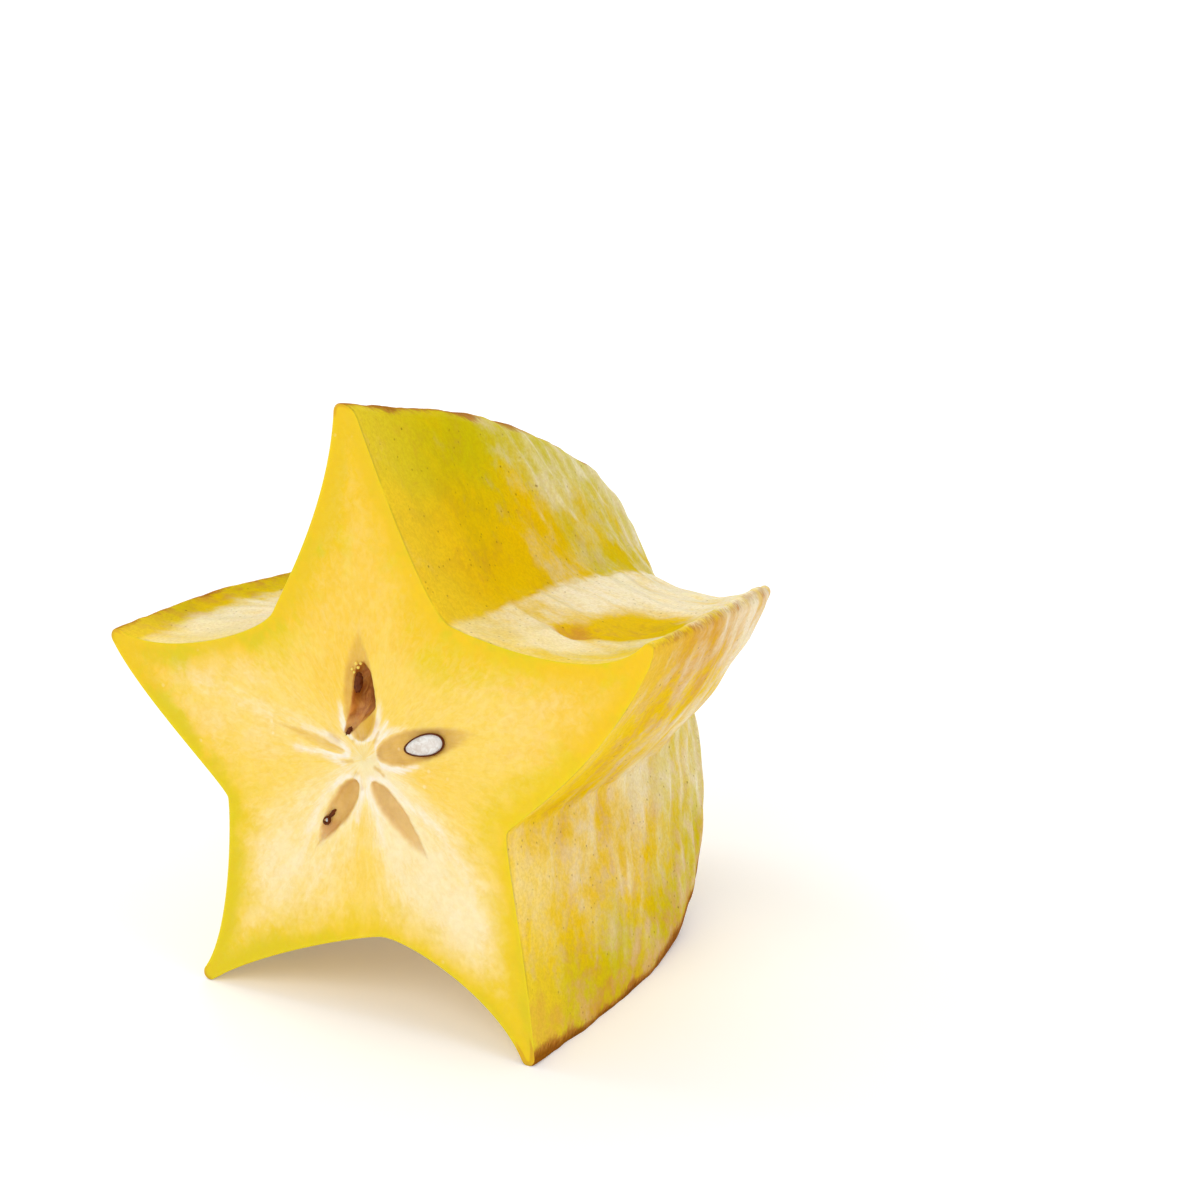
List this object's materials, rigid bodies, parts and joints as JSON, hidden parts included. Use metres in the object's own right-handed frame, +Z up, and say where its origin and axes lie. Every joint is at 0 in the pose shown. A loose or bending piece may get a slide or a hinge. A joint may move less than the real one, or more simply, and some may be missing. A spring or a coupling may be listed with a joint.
{
  "type": "star fruit",
  "caption": "Star fruit cut across its middle and lying on two ribs, with the flat star-shaped cut face, seed chambers and bared seeds at the front and the blossom end behind.",
  "frame": {"origin": "on the surface that the fruit lies on, under the middle of its bounding box", "axes": "+Z up; the cut face looks along -Y and leans back a little, and the blossom end is at +Y; +X to the right, seen from the cut"},
  "size_m": [0.072, 0.0686, 0.0682],
  "materials": {
    "skin": "waxy yellow-green fruit skin, brown along the ribs' edges",
    "flesh": "wet, slightly translucent pale yellow cut flesh",
    "seed_kernel": "wet white seed kernel",
    "seed_husk": "wet dark brown seed coat"
  },
  "bodies": {
    "root": {"fruit_half": "skin", "seed_right": "seed_kernel", "seed_top": "seed_husk", "seed_lower_left": "seed_husk"}
  },
  "joints": []
}
